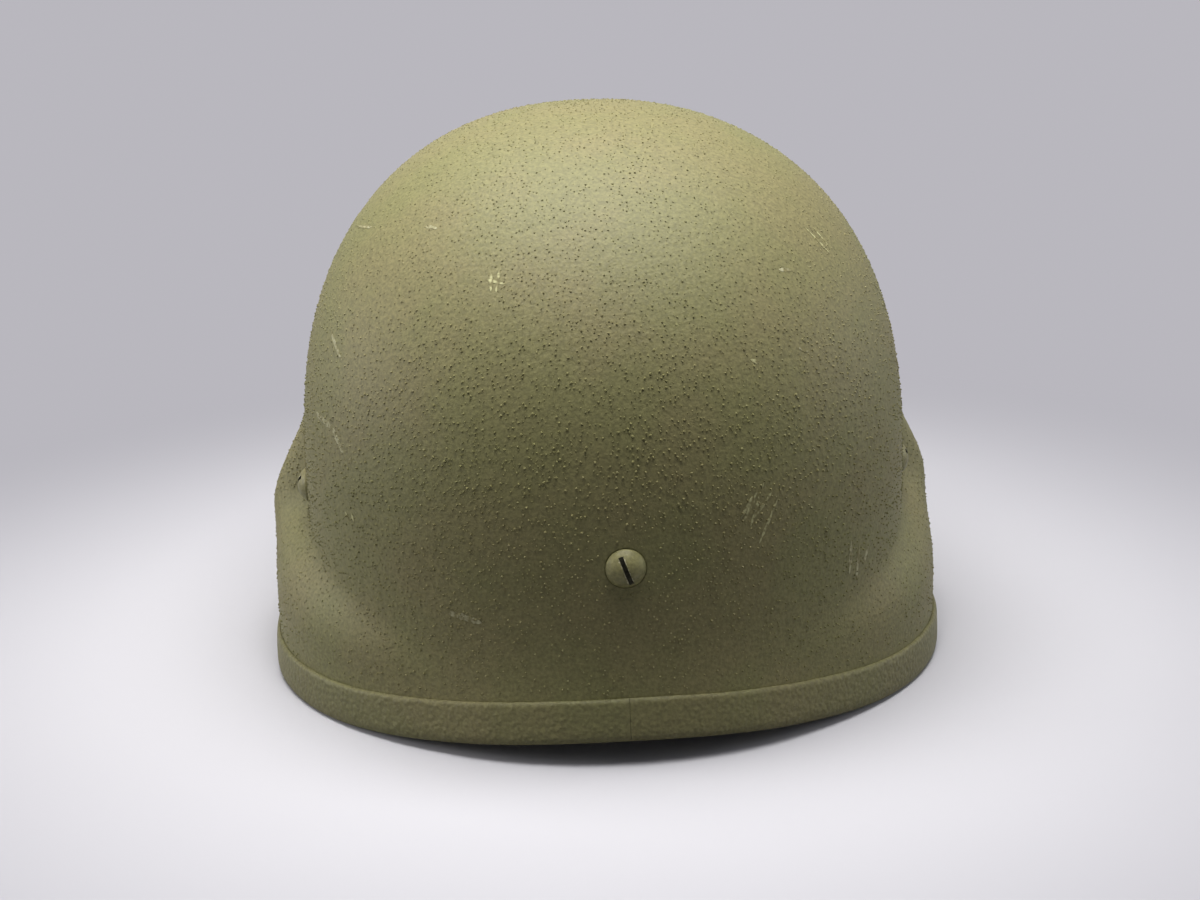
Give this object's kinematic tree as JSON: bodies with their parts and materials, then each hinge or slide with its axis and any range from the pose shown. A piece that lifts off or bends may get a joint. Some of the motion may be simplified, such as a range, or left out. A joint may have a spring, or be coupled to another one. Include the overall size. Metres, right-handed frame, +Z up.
{
  "type": "combat helmet",
  "caption": "Ballistic combat helmet with flared brim and ear bulges, rubber edge trim, slotted screws, webbing sling, leather headband and a swinging chin strap.",
  "frame": {"origin": "bottom centre of the bounding box, on the surface that the helmet stands on", "axes": "+Z up to the crown, the brim at the brow faces -Y, the nape faces +Y, the wearer's left is +X"},
  "size_m": [0.2438, 0.2719, 0.193],
  "materials": {
    "shell_coating": "matte olive coating with sand grit",
    "edge_rubber": "satin olive painted rubber",
    "screw_paint": "worn olive paint",
    "post_steel": "blackened",
    "clip_steel": "blackened spring steel",
    "band_webbing": "woven nylon",
    "crown_webbing": "woven nylon",
    "cord_nylon": "braided nylon",
    "headband_leather": "natural leather over foam",
    "closure_fabric": "hook and loop tape",
    "buckle_steel": "black enamel",
    "strap_webbing": "woven cotton webbing",
    "chin_pad": "soft leather over foam",
    "keeper_rubber": "elastic band"
  },
  "bodies": {
    "helmet": {"shell": "shell_coating", "edge_trim": "edge_rubber", "screw_rear": "screw_paint", "screw_left": "screw_paint", "screw_right": "screw_paint", "screw_front_left": "screw_paint", "screw_front_right": "screw_paint", "post_rear": "post_steel", "post_left": "post_steel", "post_right": "post_steel", "post_front_left": "post_steel", "post_front_right": "post_steel", "clip_rear": "clip_steel", "clip_left": "clip_steel", "clip_right": "clip_steel", "clip_front_left": "clip_steel", "clip_front_right": "clip_steel", "suspension_band": "band_webbing", "crown_strap_front_left": "crown_webbing", "crown_strap_front_right": "crown_webbing", "crown_strap_side_left": "crown_webbing", "crown_strap_side_right": "crown_webbing", "crown_strap_rear_left": "crown_webbing", "crown_strap_rear_right": "crown_webbing", "drawcord": "cord_nylon", "headband": "headband_leather", "headband_closure": "closure_fabric", "headband_clip_front_left": "clip_steel", "headband_clip_front_right": "clip_steel", "headband_clip_side_left": "clip_steel", "headband_clip_side_right": "clip_steel", "headband_clip_rear_left": "clip_steel", "headband_clip_rear_right": "clip_steel"},
    "chin_strap": {"strap_anchor_left": "buckle_steel", "strap_anchor_right": "buckle_steel", "strap_rivet_left": "buckle_steel", "strap_rivet_right": "buckle_steel", "chin_webbing": "strap_webbing", "chin_cup": "chin_pad", "strap_keeper_left": "keeper_rubber", "strap_keeper_right": "keeper_rubber", "snap_stud": "buckle_steel"},
    "left_buckle": {"buckle_left": "buckle_steel"},
    "right_buckle": {"buckle_right": "buckle_steel"},
    "flap": {"release_flap": "strap_webbing", "snap_cap": "buckle_steel"}
  },
  "joints": [
    {"name": "strap_swing", "type": "hinge", "parent": "helmet", "child": "chin_strap", "pos_m": [0, 0.04548, 0.068], "axis": [1, 0, 0], "range_deg": [0, 90]},
    {"name": "left_buckle_slide", "type": "slide", "parent": "chin_strap", "child": "left_buckle", "axis": [-0.1483, -0.9034, -0.4022], "range_m": [0, 0.014]},
    {"name": "right_buckle_slide", "type": "slide", "parent": "chin_strap", "child": "right_buckle", "axis": [0.1483, -0.9034, -0.4022], "range_m": [0, 0.014]},
    {"name": "release_flap_open", "type": "hinge", "parent": "chin_strap", "child": "flap", "pos_m": [0.08234, -0.02793, 0.03531], "axis": [0, -0.4067, 0.9135], "range_deg": [0, 60]}
  ]
}
